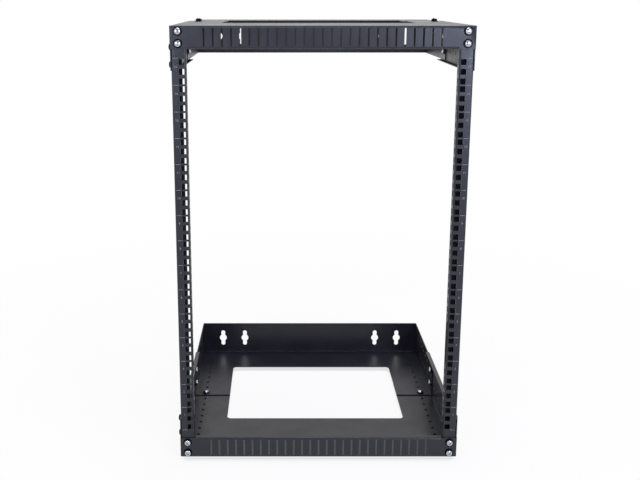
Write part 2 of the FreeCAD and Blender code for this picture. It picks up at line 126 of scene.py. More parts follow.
# Polyester powder coat, sprayed and baked on folded steel: a charcoal film that is satin,
# faintly cloudy where it is thicker, with a fine grain and the dimples of orange peel.
powderSet = {
    "thick": "#121219",
    "thin": "#1a1a24",
    "speck": "#34353c",
    "speckShare": 0.35,    # how much of its colour the highest grain takes
    "speckFrom": 0.60,
    "speckTo": 0.80,
    "cloudSize": 55.0,
    "grainSize": 1.3,      # the real grain is about 0.4 mm, drawn coarser so that it shows
    "peelSize": 5.0,
    "smoothest": 0.30,
    "dullest": 0.41,
    "grainDepth": 0.045,
    "peelDepth": 0.07,
    "ior": 1.5,            # of polyester resin
}
powderCoat, tree = newTree("satinPowderCoat")
place = addNode(tree, "ShaderNodeTexCoord").outputs["Object"]
clouds = addNode(tree, "ShaderNodeTexNoise", {
    "Scale": finishSize(powderSet["cloudSize"]), "Detail": 3.0, "Roughness": 0.55}, {"Vector": place})
grain = addNode(tree, "ShaderNodeTexNoise", {
    "Scale": finishSize(powderSet["grainSize"]), "Detail": 2.0, "Roughness": 0.6}, {"Vector": place})
peel = addNode(tree, "ShaderNodeTexNoise", {
    "Scale": finishSize(powderSet["peelSize"]), "Detail": 1.0, "Roughness": 0.4}, {"Vector": place})
film = addNode(tree, "ShaderNodeMix", {
    "data_type": "RGBA", 6: linear(powderSet["thick"]), 7: linear(powderSet["thin"])},
    {0: clouds.outputs["Fac"]})
speckAmount = addNode(tree, "ShaderNodeMapRange", {
    "From Min": powderSet["speckFrom"], "From Max": powderSet["speckTo"],
    "To Min": 0.0, "To Max": powderSet["speckShare"]}, {"Value": grain.outputs["Fac"]})
speckled = addNode(tree, "ShaderNodeMix", {
    "data_type": "RGBA", 7: linear(powderSet["speck"])},
    {0: speckAmount.outputs["Result"], 6: film.outputs[2]})
satin = addNode(tree, "ShaderNodeMapRange", {
    "From Min": 0.3, "From Max": 0.7, "To Min": powderSet["smoothest"], "To Max": powderSet["dullest"]},
    {"Value": clouds.outputs["Fac"]})
peelBump = addNode(tree, "ShaderNodeBump", {
    "Strength": 1.0, "Distance": powderSet["peelDepth"] * mm}, {"Height": peel.outputs["Fac"]})
grainBump = addNode(tree, "ShaderNodeBump", {
    "Strength": 1.0, "Distance": powderSet["grainDepth"] * mm},
    {"Height": grain.outputs["Fac"], "Normal": peelBump.outputs["Normal"]})
powderShader = addNode(tree, "ShaderNodeBsdfPrincipled", {"IOR": powderSet["ior"]}, {
    "Base Color": speckled.outputs[2], "Roughness": satin.outputs["Result"],
    "Normal": grainBump.outputs["Normal"]})
addNode(tree, "ShaderNodeOutputMaterial", None, {"Surface": powderShader.outputs["BSDF"]})

# Bright zinc plate on cold-headed steel: blue-white metal, a little cloudy from the bath.
zincSet = {
    "bright": "#cdd0d4",
    "cloudy": "#a3a8ae",
    "cloudSize": 2.5,
    "smoothest": 0.14,
    "dullest": 0.24,
    "dentSize": 1.2,
    "dentDepth": 0.008,
}
zincPlate, tree = newTree("brightZincPlate")
place = addNode(tree, "ShaderNodeTexCoord").outputs["Object"]
clouds = addNode(tree, "ShaderNodeTexNoise", {
    "Scale": finishSize(zincSet["cloudSize"]), "Detail": 4.0}, {"Vector": place})
dents = addNode(tree, "ShaderNodeTexNoise", {
    "Scale": finishSize(zincSet["dentSize"]), "Detail": 1.0}, {"Vector": place})
plate = addNode(tree, "ShaderNodeMix", {
    "data_type": "RGBA", 6: linear(zincSet["bright"]), 7: linear(zincSet["cloudy"])},
    {0: clouds.outputs["Fac"]})
gloss = addNode(tree, "ShaderNodeMapRange", {
    "From Min": 0.3, "From Max": 0.7, "To Min": zincSet["smoothest"], "To Max": zincSet["dullest"]},
    {"Value": clouds.outputs["Fac"]})
dentBump = addNode(tree, "ShaderNodeBump", {
    "Strength": 1.0, "Distance": zincSet["dentDepth"] * mm}, {"Height": dents.outputs["Fac"]})
zincShader = addNode(tree, "ShaderNodeBsdfPrincipled", {"Metallic": 1.0}, {
    "Base Color": plate.outputs[2], "Roughness": gloss.outputs["Result"],
    "Normal": dentBump.outputs["Normal"]})
addNode(tree, "ShaderNodeOutputMaterial", None, {"Surface": zincShader.outputs["BSDF"]})

# Black oxide on steel, oiled: a dark metal with a soft sheen and browner, drier spots.
oxideSet = {
    "oiled": "#0d0d0f",
    "dry": "#171614",
    "spotSize": 3.0,
    "smoothest": 0.34,
    "dullest": 0.55,
    "skinSize": 0.9,
    "skinDepth": 0.02,
}
blackOxide, tree = newTree("oiledBlackOxide")
place = addNode(tree, "ShaderNodeTexCoord").outputs["Object"]
spots = addNode(tree, "ShaderNodeTexNoise", {
    "Scale": finishSize(oxideSet["spotSize"]), "Detail": 4.0}, {"Vector": place})
skin = addNode(tree, "ShaderNodeTexNoise", {
    "Scale": finishSize(oxideSet["skinSize"]), "Detail": 1.0}, {"Vector": place})
oxide = addNode(tree, "ShaderNodeMix", {
    "data_type": "RGBA", 6: linear(oxideSet["oiled"]), 7: linear(oxideSet["dry"])},
    {0: spots.outputs["Fac"]})
sheen = addNode(tree, "ShaderNodeMapRange", {
    "From Min": 0.3, "From Max": 0.7, "To Min": oxideSet["smoothest"], "To Max": oxideSet["dullest"]},
    {"Value": spots.outputs["Fac"]})
skinBump = addNode(tree, "ShaderNodeBump", {
    "Strength": 1.0, "Distance": oxideSet["skinDepth"] * mm}, {"Height": skin.outputs["Fac"]})
oxideShader = addNode(tree, "ShaderNodeBsdfPrincipled", {"Metallic": 1.0}, {
    "Base Color": oxide.outputs[2], "Roughness": sheen.outputs["Result"],
    "Normal": skinBump.outputs["Normal"]})
addNode(tree, "ShaderNodeOutputMaterial", None, {"Surface": oxideShader.outputs["BSDF"]})

# Screen-printed marks, pale grey ink: thin and matt, a little patchy over the grain of the powder.
inkSet = {
    "full": "#9c9fa6",
    "worn": "#7b7d85",
    "patchSize": 1.5,
    "roughness": 0.7,
}
printInk, tree = newTree("screenPrintInk")
place = addNode(tree, "ShaderNodeTexCoord").outputs["Object"]
patches = addNode(tree, "ShaderNodeTexNoise", {
    "Scale": finishSize(inkSet["patchSize"]), "Detail": 2.0}, {"Vector": place})
ink = addNode(tree, "ShaderNodeMix", {
    "data_type": "RGBA", 6: linear(inkSet["full"]), 7: linear(inkSet["worn"])},
    {0: patches.outputs["Fac"]})
inkShader = addNode(tree, "ShaderNodeBsdfPrincipled", {"Roughness": inkSet["roughness"]}, {
    "Base Color": ink.outputs[2]})
addNode(tree, "ShaderNodeOutputMaterial", None, {"Surface": inkShader.outputs["BSDF"]})
print("finishes made")


def linkMesh(name, mesh):
    piece = bpy.data.objects.new(name, mesh)
    scene.collection.objects.link(piece)
    return piece


def meshFrom(build, name, sharpest=math.radians(32)):
    # folds and round walls are shaded smooth, real edges stay crisp
    for face in build.faces:
        face.smooth = True
    for edge in build.edges:
        edge.smooth = len(edge.link_faces) == 2 and edge.calc_face_angle(math.pi) < sharpest
    mesh = bpy.data.meshes.new(name)
    build.to_mesh(mesh)
    build.free()
    return mesh


def settle(piece, node=None, body="front_frame"):
    # turns what the modifiers give into a plain mesh, hides the imported part it replaces and hangs it on
    # its body
    graph = bpy.context.evaluated_depsgraph_get()
    plain = bpy.data.meshes.new_from_object(piece.evaluated_get(graph))
    piece.modifiers.clear()
    build = bmesh.new()
    build.from_mesh(plain)
    for face in build.faces:
        face.material_index = 0
    piece.data = meshFrom(build, piece.name)
    for material in [given for given in plain.materials if given][-1:]:
        piece.data.materials.append(material)
    if node:
        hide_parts(node)
    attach(piece, body)
    return piece


def newGeometryTree(name, inputs):
    group = bpy.data.node_groups.new(name, "GeometryNodeTree")
    group.interface.new_socket("Geometry", in_out="OUTPUT", socket_type="NodeSocketGeometry")
    keys = {}
    for label, kind in inputs.items():
        socket = group.interface.new_socket(label, in_out="INPUT", socket_type="NodeSocket" + kind)
        keys[label] = socket.identifier
    return group, addNode(group, "NodeGroupInput"), keys


def addTree(piece, group, keys, values):
    modifier = piece.modifiers.new(group.name, "NODES")
    modifier.node_group = group
    for label, value in values.items():
        modifier[keys[label]] = value


# Rows of round holes: a row of rows of drills, taken away from the sheet
drilled, given, drillKeys = newGeometryTree("drilledRows", {
    "Geometry": "Geometry", "First Hole": "Vector", "Hole Step": "Vector", "Holes": "Int",
    "Row Step": "Vector", "Rows": "Int", "Drill Turn": "Vector", "Radius": "Float",
    "Drill Length": "Float", "Sides": "Int", "Finish": "Material"})
rows = addNode(drilled, "GeometryNodeMeshLine", None, {
    "Count": given.outputs["Rows"], "Start Location": given.outputs["First Hole"],
    "Offset": given.outputs["Row Step"]})
row = addNode(drilled, "GeometryNodeMeshLine", None, {
    "Count": given.outputs["Holes"], "Offset": given.outputs["Hole Step"]})
placedRows = addNode(drilled, "GeometryNodeInstanceOnPoints", None, {
    "Points": rows.outputs["Mesh"], "Instance": row.outputs["Mesh"]})
middles = addNode(drilled, "GeometryNodeRealizeInstances", None, {
    "Geometry": placedRows.outputs["Instances"]})
drill = addNode(drilled, "GeometryNodeMeshCylinder", None, {
    "Vertices": given.outputs["Sides"], "Radius": given.outputs["Radius"],
    "Depth": given.outputs["Drill Length"]})
turn = addNode(drilled, "FunctionNodeEulerToRotation", None, {"Euler": given.outputs["Drill Turn"]})
drills = addNode(drilled, "GeometryNodeInstanceOnPoints", None, {
    "Points": middles.outputs["Geometry"], "Instance": drill.outputs["Mesh"],
    "Rotation": turn.outputs["Rotation"]})
solidDrills = addNode(drilled, "GeometryNodeRealizeInstances", None, {
    "Geometry": drills.outputs["Instances"]})
perforated = addNode(drilled, "GeometryNodeMeshBoolean", {
    "operation": "DIFFERENCE", "solver": "MANIFOLD"}, {
    "Mesh 1": given.outputs["Geometry"], "Mesh 2": solidDrills.outputs["Geometry"]})
realized = addNode(drilled, "GeometryNodeRealizeInstances", None, {
    "Geometry": perforated.outputs["Mesh"]})
finished = addNode(drilled, "GeometryNodeSetMaterial", None, {
    "Geometry": realized.outputs["Geometry"], "Material": given.outputs["Finish"]})
addNode(drilled, "NodeGroupOutput", None, {"Geometry": finished.outputs["Geometry"]})

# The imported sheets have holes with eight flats. Each is drilled round here, by a hair wider.
sheetSet = {
    "holeRadius": 3.33 * mm,
    "holeSides": 24,
    "holePitch": 25.4 * mm,
    "frontSetback": 82.3 * mm,     # from the lip to the first hole of a front tray
    "frontHoles": 9,
    "rearSetback": 10.5 * mm,      # from the end of a rear tray to its first hole
    "rearHoles": 7,
    "floorRow": 226.0 * mm,
    "lowRow": 26.0 * mm,
    "highRow": 55.0 * mm,
    "keyholes": (152.4 * mm, 203.2 * mm),
    "keyholeHeight": 37.3 * mm,    # from the outer face of a front tray
    "keyholeRadius": 8.05 * mm,
    "keyholeSlotRadius": 4.74 * mm,
    "keyholeSlotReach": 13.3 * mm,
    "keyholeSides": 32,
    "drillLength": 8.0 * mm,
}
acrossTurn = (0.0, math.pi / 2, 0.0)
throughTurn = (math.pi / 2, 0.0, 0.0)


def mergedSheet(name, node, reshape=None, end=1):
    # a joined copy of a packed sheet, with the small triangles of its flat faces kept
    build = bmesh.new()
    build.from_mesh(frame["nodes"][node].data)
    bmesh.ops.remove_doubles(build, verts=build.verts, dist=1e-6)
    if reshape:
        reshape(build, end)
    return linkMesh(name, meshFrom(build, name))


rollSet = {
    "lipHeight": 38.1 * mm,
    "halfWidth": 223.0 * mm,
    "packedRadius": 2.5 * mm,
    "rollRadius": 4.0 * mm,        # the folded edge of the lip is rounder than the other folds
    "slack": 0.01 * mm,
}


def rollLip(build, end):
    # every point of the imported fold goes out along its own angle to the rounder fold
    packed, rolled, slack = rollSet["packedRadius"], rollSet["rollRadius"], rollSet["slack"]
    for vert in build.verts:
        back = vert.co.y - lipFace
        height = -vert.co.z * end - trayBase
        above = height - (rollSet["lipHeight"] - packed)
        if above > -slack and back < packed + slack and abs(vert.co.x) < rollSet["halfWidth"] + slack:
            angle = math.atan2(max(above, 0.0), max(packed - back, 0.0))
            radius = math.hypot(above, packed - back) + rolled - packed
            vert.co.y = lipFace + rolled - radius * math.cos(angle)
            vert.co.z = -end * (trayBase + rollSet["lipHeight"] - rolled + radius * math.sin(angle))


def drillSheet(sheet, first, step, count, rowStep, rowCount, turnBy, radius, length, sides):
    addTree(sheet, drilled, drillKeys, {
        "First Hole": first, "Hole Step": step, "Holes": count, "Row Step": rowStep, "Rows": rowCount,
        "Drill Turn": turnBy, "Radius": radius, "Drill Length": length, "Sides": sides,
        "Finish": powderCoat})


def drillDepthRows(sheet, end, firstY, count):
    # two rows in the floor, and two rows that go through both side walls
    radius, sides = sheetSet["holeRadius"], sheetSet["holeSides"]
    step = (0.0, sheetSet["holePitch"], 0.0)
    floorZ = -trayBase * end
    drillSheet(sheet, (-sheetSet["floorRow"], firstY, floorZ), step, count,
               (2 * sheetSet["floorRow"], 0.0, 0.0), 2, (0.0, 0.0, 0.0), radius,
               sheetSet["drillLength"], sides)
    lowZ = (-trayBase - sheetSet["lowRow"]) * end
    drillSheet(sheet, (0.0, firstY, lowZ), step, count,
               (0.0, 0.0, (sheetSet["lowRow"] - sheetSet["highRow"]) * end), 2, acrossTurn, radius,
               2 * trayHalfWidth + sheetSet["drillLength"], sides)


def drillKeyholes(sheet, end):
    near, far = sheetSet["keyholes"]
    middleZ = (-trayBase - sheetSet["keyholeHeight"]) * end
    reach, sides = sheetSet["keyholeSlotReach"], sheetSet["keyholeSides"]
    for side in (-1, 1):
        step = ((far - near) * side, 0.0, 0.0)
        drillSheet(sheet, (near * side, 0.0, middleZ), step, 2, (0.0, 0.0, 0.0), 1, throughTurn,
                   sheetSet["keyholeRadius"], sheetSet["drillLength"], sides)
        drillSheet(sheet, (near * side, 0.0, middleZ - reach), step, 2, (0.0, 0.0, 2 * reach), 2,
                   throughTurn, sheetSet["keyholeSlotRadius"], sheetSet["drillLength"], sides)


for endName, end in (("bottom", -1), ("top", 1)):
    frontTray = mergedSheet(endName + "FrontTray", endName + "_front_tray", rollLip, end)
    drillDepthRows(frontTray, end, lipFace + sheetSet["frontSetback"], sheetSet["frontHoles"])
    settle(frontTray, endName + "_front_tray", bodyOfNode[endName + "_front_tray"])
    rearTray = mergedSheet(endName + "RearTray", endName + "_rear_tray")
    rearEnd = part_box(endName + "_rear_tray")[0].y
    drillDepthRows(rearTray, end, rearEnd + sheetSet["rearSetback"], sheetSet["rearHoles"])
    drillKeyholes(rearTray, end)
    settle(rearTray, endName + "_rear_tray", bodyOfNode[endName + "_rear_tray"])
print("trays drilled")

for sideName in ("left", "right"):
    post = mergedSheet(sideName + "Post", sideName + "_post")
    post.data.materials.append(powderCoat)
    settle(post, sideName + "_post", bodyOfNode[sideName + "_post"])
print("posts made")


# Screws, washers and nuts, each modelled once: +Z points out of the head, 0 is the seat
def addTurned(build, rings, steps, closed):
    # a lathe whose radius may change with the angle, so that it also turns a chamfered hexagon
    loops = []
    for ring in rings:
        loop = []
        for index in range(steps):
            angle = 2 * math.pi * index / steps
            radius, height = ring(angle) if callable(ring) else ring
            loop.append(build.verts.new((radius * math.cos(angle), radius * math.sin(angle), height)))
        loops.append(loop)
    pairs = list(zip(loops, loops[1:]))
    if closed:
        pairs.append((loops[-1], loops[0]))
    for lower, upper in pairs:
        for index in range(steps):
            following = (index + 1) % steps
            build.faces.new((lower[index], lower[following], upper[following], upper[index]))
    if not closed:
        for loop in (loops[0], loops[-1]):
            middle = build.verts.new((0.0, 0.0, loop[0].co.z))
            for index in range(steps):
                build.faces.new((loop[index], loop[(index + 1) % steps], middle))


def masterPiece(name, build):
    bmesh.ops.recalc_face_normals(build, faces=build.faces)
    return linkMesh(name, meshFrom(build, name))


screwSet = {
    "headRadius": 5.6 * mm,
    "headHeight": 3.9 * mm,
    "headSteps": 40,
    "rimHeight": 1.1 * mm,
    "rimEdge": 0.25 * mm,
    "crownRadius": 4.0 * mm,
    "crownFlat": 0.25,             # the level middle, as a share of the crown's radius
    "crownSteps": 8,
    "shoulder": 0.85,              # below 1 the head is fuller than an ellipse
    "crown": 0.9,
    "footRadius": 2.0 * mm,        # where the head sinks into the shank
    "footDepth": 0.3 * mm,
    "recessReach": 3.1 * mm,
    "recessWidth": 1.5 * mm,
    "recessDepth": 2.4 * mm,
    "recessOver": 0.5 * mm,        # how far the cutter stands above the head
    "recessFloor": 0.35,           # its floor, as a share of its reach
    "recessTaper": 0.8,
    "length": 12.0 * mm,
    "tipChamfer": 0.9 * mm,
    "neck": 0.1 * mm,
    "coreRadius": 2.45 * mm,
    "threadRadius": 3.0 * mm,
    "threadPitch": 1.0 * mm,
    "threadSteps": 20,             # for one turn, the same as the core's
    "ridgeHalf": 0.44,             # half the ridge at its root and at its crest, in pitches
    "crestHalf": 0.06,
    "ridgeSink": 0.96,             # how far the ridge starts inside the core
    "fadeTurns": 0.5,
}


def addThread(build, bottom, top):
    # a ridge that runs round the core and sinks into it at both ends
    outer, root, pitch = screwSet["threadRadius"], screwSet["coreRadius"], screwSet["threadPitch"]
    steps, sunk = screwSet["threadSteps"], screwSet["coreRadius"] * screwSet["ridgeSink"]
    wide, narrow = pitch * screwSet["ridgeHalf"], pitch * screwSet["crestHalf"]
    total = int((top - bottom) / pitch * steps)
    previous = None
    for index in range(total + 1):
        angle = 2 * math.pi * index / steps
        middle = bottom + pitch * index / steps
        fade = min(1.0, min(index, total - index) / steps / screwSet["fadeTurns"])
        crest = root + (outer - root) * fade
        profile = [(sunk, middle - wide), (crest, middle - narrow),
                   (crest, middle + narrow), (sunk, middle + wide)]
        current = [build.verts.new((r * math.cos(angle), r * math.sin(angle), z)) for r, z in profile]
        if previous:
            for corner in range(4):
                following = (corner + 1) % 4
                build.faces.new((previous[corner], current[corner],
                                 current[following], previous[following]))
        else:
            build.faces.new(current)
        previous = current
    build.faces.new(list(reversed(previous)))


def headProfile():
    # rises from the rim over a rounded shoulder to a low crown
    radius, height, rim = screwSet["headRadius"], screwSet["headHeight"], screwSet["rimHeight"]
    edge, level = screwSet["rimEdge"], screwSet["crownRadius"] * screwSet["crownFlat"]
    rings = [(radius - edge, 0.0), (radius, edge), (radius, rim)]
    for index in range(screwSet["crownSteps"]):
        sweep = (index + 1) / screwSet["crownSteps"] * math.pi / 2
        rings.append((level + (radius - level) * math.cos(sweep) ** screwSet["shoulder"],
                      rim + (height - rim) * math.sin(sweep) ** screwSet["crown"]))
    return rings


def addRecess(build):
    # two crossed wedges, cut out of the head by the boolean of the screw
    reach, half, taper = screwSet["recessReach"], screwSet["recessWidth"] / 2, screwSet["recessTaper"]
    top = screwSet["headHeight"] + screwSet["recessOver"]
    floor = screwSet["headHeight"] - screwSet["recessDepth"]
    low = reach * screwSet["recessFloor"]
    outline = [(reach, half), (half, half), (half, reach),
               (-half, reach), (-half, half), (-reach, half),
               (-reach, -half), (-half, -half), (-half, -reach),
               (half, -reach), (half, -half), (reach, -half)]
    upper = [build.verts.new((x, y, top)) for x, y in outline]
    lower = []
    for x, y in outline:
        x = math.copysign(min(abs(x), low), x)
        y = math.copysign(min(abs(y), low), y)
        lower.append(build.verts.new((x * taper, y * taper, floor)))
    build.faces.new(upper)
    build.faces.new(list(reversed(lower)))
    for index in range(len(outline)):
        following = (index + 1) % len(outline)
        build.faces.new((upper[index], lower[index], lower[following], upper[following]))


build = bmesh.new()
foot = (screwSet["footRadius"], -screwSet["footDepth"])
addTurned(build, [foot] + headProfile(), screwSet["headSteps"], closed=False)
head = masterPiece("screwHead", build)
build = bmesh.new()
addRecess(build)
recess = masterPiece("screwRecess", build)
cut = head.modifiers.new("recess", "BOOLEAN")
cut.object = recess
cut.operation = "DIFFERENCE"
cut.solver = "EXACT"
graph = bpy.context.evaluated_depsgraph_get()
recessed = bpy.data.meshes.new_from_object(head.evaluated_get(graph))
build = bmesh.new()
build.from_mesh(recessed)
tip, core, chamfer = -screwSet["length"], screwSet["coreRadius"], screwSet["tipChamfer"]
shank = bmesh.new()
addTurned(shank, [(core - chamfer, tip), (core, tip + chamfer), (core, -screwSet["neck"]), (core, 0.0)],
          screwSet["threadSteps"], closed=False)
addThread(shank, tip + chamfer, -chamfer)
bmesh.ops.recalc_face_normals(shank, faces=shank.faces)
shankMesh = bpy.data.meshes.new("screwShank")
shank.to_mesh(shankMesh)
shank.free()
build.from_mesh(shankMesh)
panScrew = linkMesh("panScrew", meshFrom(build, "panScrew"))

washerSet = {
    "radius": 7.5 * mm,
    "hole": 3.2 * mm,
    "thickness": 1.2 * mm,
    "punchedEdge": 0.22 * mm,      # the outer edge that faces out is the roundest
    "holeEdge": 0.11 * mm,
    "seatEdge": 0.088 * mm,
    "steps": 40,
}
build = bmesh.new()
outer, inner, thick = washerSet["radius"], washerSet["hole"], washerSet["thickness"]
edge, small, seat = washerSet["punchedEdge"], washerSet["holeEdge"], washerSet["seatEdge"]
addTurned(build, [(inner, 0.0), (outer - seat, 0.0), (outer, small), (outer, thick - edge),
                  (outer - edge, thick), (inner + small, thick), (inner, thick - small)],
          washerSet["steps"], closed=True)
washer = masterPiece("washer", build)

nutSet = {
    "flats": 10.0 * mm,
    "height": 5.0 * mm,
    "hole": 2.98 * mm,
    "chamferRadius": 4.75 * mm,
    "chamferSlope": math.radians(30),
    "countersink": 0.45 * mm,
    "flangeRadius": 6.8 * mm,
    "flangeHeight": 0.8 * mm,
    "flangeEdge": 0.25 * mm,
    "flangeSeat": 0.2 * mm,
    "coneFoot": 0.35,              # slopes of the cone between the flange and the flats
    "coneTop": 0.55,
    "steps": 48,
}


def hexRadius(angle):
    return nutSet["flats"] / 2 / math.cos(angle % (math.pi / 3) - math.pi / 6)


def chamfered(seat, outward):
    # where the cone of the chamfer meets the flats and corners of the hexagon
    def ring(angle):
        radius = hexRadius(angle)
        slope = math.tan(nutSet["chamferSlope"])
        return radius, seat - outward * (radius - nutSet["chamferRadius"]) * slope
    return ring


def makeNut(name, flanged):
    build = bmesh.new()
    height, hole, sink = nutSet["height"], nutSet["hole"], nutSet["countersink"]
    if flanged:
        rim, foot = nutSet["flangeRadius"], nutSet["flangeHeight"]
        edge, seat = nutSet["flangeEdge"], nutSet["flangeSeat"]
        low, high = nutSet["coneFoot"], nutSet["coneTop"]
        rings = [(hole, edge), (hole + sink, 0.0), (rim - seat, 0.0), (rim, edge), (rim, foot),
                 lambda angle: (hexRadius(angle) + edge, foot + (rim - hexRadius(angle)) * low),
                 lambda angle: (hexRadius(angle), foot + (rim - hexRadius(angle)) * high + seat)]
    else:
        rings = [(hole, sink), (hole + sink, 0.0),
                 (nutSet["chamferRadius"], 0.0), chamfered(0.0, -1)]
    rings += [chamfered(height, 1), (nutSet["chamferRadius"], height),
              (hole + sink, height), (hole, height - sink)]
    addTurned(build, rings, nutSet["steps"], closed=True)
    return masterPiece(name, build)


plainNut = makeNut("plainNut", flanged=False)
flangeNut = makeNut("flangeNut", flanged=True)
print("fasteners modelled")

# Rows of fasteners: one row at the bottom tray and one at the top tray, each piece at its own turn
fastened, given, fastenerKeys = newGeometryTree("fastenerRows", {
    "Geometry": "Geometry", "Fastener": "Object", "Count": "Int",
    "Lower Place": "Vector", "Lower Step": "Vector", "Lower Facing": "Vector",
    "Upper Place": "Vector", "Upper Step": "Vector", "Upper Facing": "Vector",
    "Spin Seed": "Int", "Finish": "Material"})
source = addNode(fastened, "GeometryNodeObjectInfo", {"As Instance": True}, {
    "Object": given.outputs["Fastener"]})
bothRows = addNode(fastened, "GeometryNodeJoinGeometry")
for level in ("Lower", "Upper"):
    line = addNode(fastened, "GeometryNodeMeshLine", None, {
        "Count": given.outputs["Count"], "Start Location": given.outputs[level + " Place"],
        "Offset": given.outputs[level + " Step"]})
    facing = addNode(fastened, "FunctionNodeEulerToRotation", None, {
        "Euler": given.outputs[level + " Facing"]})
    placed = addNode(fastened, "GeometryNodeInstanceOnPoints", None, {
        "Points": line.outputs["Mesh"], "Instance": source.outputs["Geometry"],
        "Rotation": facing.outputs["Rotation"]})
    fastened.links.new(placed.outputs["Instances"], bothRows.inputs["Geometry"])
spinAmount = addNode(fastened, "FunctionNodeRandomValue", {
    "data_type": "FLOAT", 2: 0.0, 3: 2 * math.pi}, {"Seed": given.outputs["Spin Seed"]})
spin = addNode(fastened, "ShaderNodeCombineXYZ", None, {"Z": spinAmount.outputs[1]})
spinTurn = addNode(fastened, "FunctionNodeEulerToRotation", None, {"Euler": spin.outputs["Vector"]})
spun = addNode(fastened, "GeometryNodeRotateInstances", {"Local Space": True}, {
    "Instances": bothRows.outputs["Geometry"], "Rotation": spinTurn.outputs["Rotation"]})
realized = addNode(fastened, "GeometryNodeRealizeInstances", None, {
    "Geometry": spun.outputs["Instances"]})
finished = addNode(fastened, "GeometryNodeSetMaterial", None, {
    "Geometry": realized.outputs["Geometry"], "Material": given.outputs["Finish"]})
addNode(fastened, "NodeGroupOutput", None, {"Geometry": finished.outputs["Geometry"]})

fastenerSet = {
    "lipOffset": 237.5 * mm,
    "lipHeights": (9.0 * mm, 29.0 * mm),
    "sideSetback": 27.0 * mm,
    "sideHeights": (36.0 * mm, 65.0 * mm),
    "stationFromWall": 222.5 * mm,
    "postGrip": 3.6 * mm,          # a tray, a post and the paint between them
    "depthGrip": 3.4 * mm,         # two trays and their play
    "traySheet": 1.5 * mm,
    "paint": 0.1 * mm,
    "spinSeed": 11,
    "spinSeedStep": 7,
}


def facingTurn(way):
    return tuple(Vector(way).to_track_quat("Z", "Y").to_euler())


def addFasteners(sideName, side, kind, place, secondZ, head, grip, nut, screwFinish, nutFinish):
    # place is the seat on the right side at the bottom, secondZ the second seat's z or None
    count = 2 if secondZ else 1
    pieces = {
        "screws": (panScrew, washerSet["thickness"], 1, screwFinish),
        "washers": (washer, 0.0, 1, blackOxide),
        "nuts": (nut, -grip, -1, nutFinish),
    }
    lowHead = Vector((head[0] * side, head[1], head[2]))
    highHead = Vector((head[0] * side, head[1], -head[2]))
    for order, (piece, (master, rise, way, finish)) in enumerate(pieces.items()):
        low = Vector((place[0] * side, place[1], place[2])) + lowHead * rise
        high = Vector((place[0] * side, place[1], -place[2])) + highHead * rise
        step = (secondZ - place[2]) if secondZ else 0.0
        node = "%s_%s_%s" % (sideName, kind, piece)
        group = linkMesh(node.replace("_", "-"), bpy.data.meshes.new(node))
        addTree(group, fastened, fastenerKeys, {
            "Fastener": master, "Count": count, "Finish": finish,
            "Lower Place": low, "Lower Step": (0.0, 0.0, step), "Lower Facing": facingTurn(lowHead * way),
            "Upper Place": high, "Upper Step": (0.0, 0.0, -step),
            "Upper Facing": facingTurn(highHead * way),
            "Spin Seed": fastenerSet["spinSeed"] + fastenerSet["spinSeedStep"] * order + side})
        settle(group, node, bodyOfNode[node])


lipLow, lipHigh = [trayBase + height for height in fastenerSet["lipHeights"]]
sideLow, sideHigh = [trayBase + height for height in fastenerSet["sideHeights"]]
rowLow, rowHigh = [trayBase + sheetSet[name] for name in ("lowRow", "highRow")]
station = -fastenerSet["stationFromWall"]
sideFace = lipFace + fastenerSet["sideSetback"]
rearInside = rearHalfWidth - fastenerSet["traySheet"] - fastenerSet["paint"]
rearFloor = rearBase + fastenerSet["traySheet"] + fastenerSet["paint"]
for sideName, side in (("left", -1), ("right", 1)):
    addFasteners(sideName, side, "lip", (fastenerSet["lipOffset"], lipFace, lipLow), lipHigh,
                 (0, -1, 0), fastenerSet["postGrip"], plainNut, zincPlate, zincPlate)
    addFasteners(sideName, side, "side", (trayHalfWidth, sideFace, sideLow), sideHigh,
                 (1, 0, 0), fastenerSet["postGrip"], plainNut, blackOxide, zincPlate)
    addFasteners(sideName, side, "wall_depth", (rearInside, station, rowLow), rowHigh,
                 (-1, 0, 0), fastenerSet["depthGrip"], flangeNut, zincPlate, blackOxide)
    addFasteners(sideName, side, "floor_depth", (sheetSet["floorRow"], station, rearFloor), None,
                 (0, 0, 1), fastenerSet["depthGrip"], flangeNut, zincPlate, blackOxide)
for master in (head, recess, panScrew, washer, plainNut, flangeNut):
    bpy.data.objects.remove(master)
print("fasteners placed")

# Unit marks on the fronts of the posts: a line at the top of each unit and its number under it
ruled, given, ruleKeys = newGeometryTree("unitRule", {
    "Geometry": "Geometry", "First Line": "Vector", "Line Step": "Vector", "Lines": "Int",
    "Line Size": "Vector", "Finish": "Material"})
line = addNode(ruled, "GeometryNodeMeshLine", None, {
    "Count": given.outputs["Lines"], "Start Location": given.outputs["First Line"],
    "Offset": given.outputs["Line Step"]})
bar = addNode(ruled, "GeometryNodeMeshCube", None, {"Size": given.outputs["Line Size"]})
bars = addNode(ruled, "GeometryNodeInstanceOnPoints", None, {
    "Points": line.outputs["Mesh"], "Instance": bar.outputs["Mesh"]})
realized = addNode(ruled, "GeometryNodeRealizeInstances", None, {"Geometry": bars.outputs["Instances"]})
finished = addNode(ruled, "GeometryNodeSetMaterial", None, {
    "Geometry": realized.outputs["Geometry"], "Material": given.outputs["Finish"]})
addNode(ruled, "NodeGroupOutput", None, {"Geometry": finished.outputs["Geometry"]})

markSet = {
    "units": 15,
    "unitPitch": 44.45 * mm,
    "offset": 242.1 * mm,          # from the centre line
    "lineLength": 8.2 * mm,
    "lineHeight": 0.7 * mm,
    "inkThickness": 0.06 * mm,
    "numberDrop": 14.3 * mm,
    "numberSize": 5.6 * mm,
    "numberSteps": 3,
}


